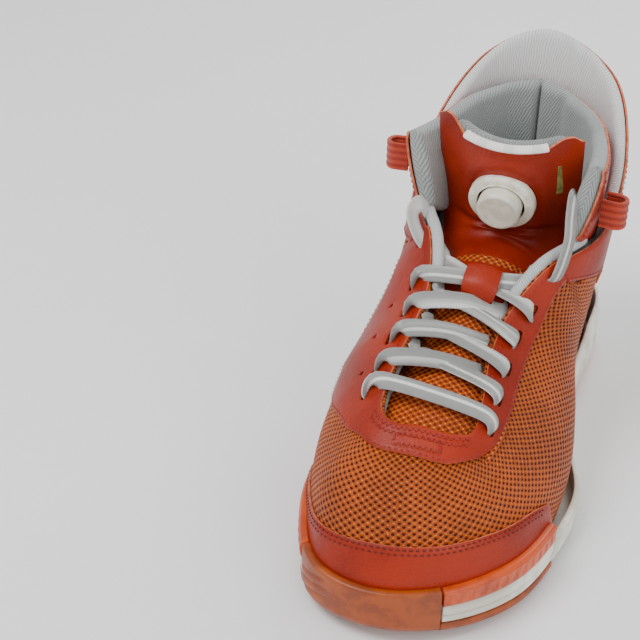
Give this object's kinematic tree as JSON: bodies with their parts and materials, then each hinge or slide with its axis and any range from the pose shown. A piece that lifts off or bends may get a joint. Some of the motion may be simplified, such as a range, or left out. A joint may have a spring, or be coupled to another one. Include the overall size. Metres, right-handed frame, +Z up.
{
  "type": "basketball high top",
  "caption": "Left high-top basketball shoe with a laced mesh and leather upper, padded ankle collar, flared heel flap and a push-ball pump on the folding tongue.",
  "frame": {"origin": "middle of the shoe on the ground it stands on", "axes": "+Y from the toe to the heel, +X to the lateral side of the left foot, +Z up"},
  "size_m": [0.1248, 0.2885, 0.1805],
  "materials": {
    "forefoot_rubber": "satin",
    "heel_rubber": "satin",
    "shank_plastic": "matte",
    "white_foam": "satin",
    "orange_clip": "gloss",
    "board": "matte",
    "insole_fabric": "matte",
    "lining_fabric": "matte",
    "stiffener": "matte",
    "open_mesh": "matte",
    "red_leather": "satin",
    "tan_leather": "satin",
    "flap_fabric": "matte",
    "collar_fabric": "matte",
    "loop_webbing": "satin",
    "bladder_film": "satin",
    "strip_tape": "matte",
    "pump_plastic": "satin",
    "pump_rubber": "satin",
    "lace_cotton": "matte",
    "tip_plastic": "gloss"
  },
  "bodies": {
    "shoe": {"forefoot_outsole": "forefoot_rubber", "heel_outsole": "heel_rubber", "midfoot_shank": "shank_plastic", "forefoot_foam": "white_foam", "heel_midsole": "white_foam", "lateral_cushion": "white_foam", "medial_cushion": "white_foam", "lateral_clip": "orange_clip", "medial_clip": "orange_clip", "strobel_board": "board", "insole": "insole_fabric", "vamp_lining": "lining_fabric", "lateral_lining": "lining_fabric", "medial_lining": "lining_fabric", "toe_puff": "stiffener", "heel_counter": "stiffener", "mesh_upper": "open_mesh", "toe_cap": "red_leather", "eyestay": "red_leather", "vamp_tack_patch": "red_leather", "lateral_ankle_patch": "red_leather", "medial_ankle_patch": "red_leather", "heel_panel": "tan_leather", "heel_flap": "red_leather", "flap_lining": "flap_fabric", "collar_padding": "collar_fabric", "lateral_collar_wing": "red_leather", "medial_collar_wing": "red_leather", "lateral_loop": "loop_webbing", "medial_loop": "loop_webbing", "lateral_topline_roll": "collar_fabric", "medial_topline_roll": "collar_fabric", "tongue_base": "open_mesh", "lace_keeper": "red_leather", "lace": "lace_cotton", "lace_tips": "tip_plastic"},
    "tongue": {"tongue_leather": "red_leather", "tongue_bladder": "bladder_film", "tongue_padding": "collar_fabric", "tongue_lining": "lining_fabric", "tongue_edge_strip": "strip_tape", "bladder_window": "bladder_film", "pump_base": "pump_plastic"},
    "push_ball": {"pump_ball": "pump_rubber"}
  },
  "joints": [
    {"name": "tongue_fold", "type": "hinge", "parent": "shoe", "child": "tongue", "pos_m": [0, 0.0084, 0.105], "axis": [1, 0, 0], "range_deg": [0, 25]},
    {"name": "pump_press", "type": "slide", "parent": "tongue", "child": "push_ball", "axis": [0, 0.9703, 0.2419], "range_m": [0, 0.005], "stiffness_N_per_m": 600}
  ]
}
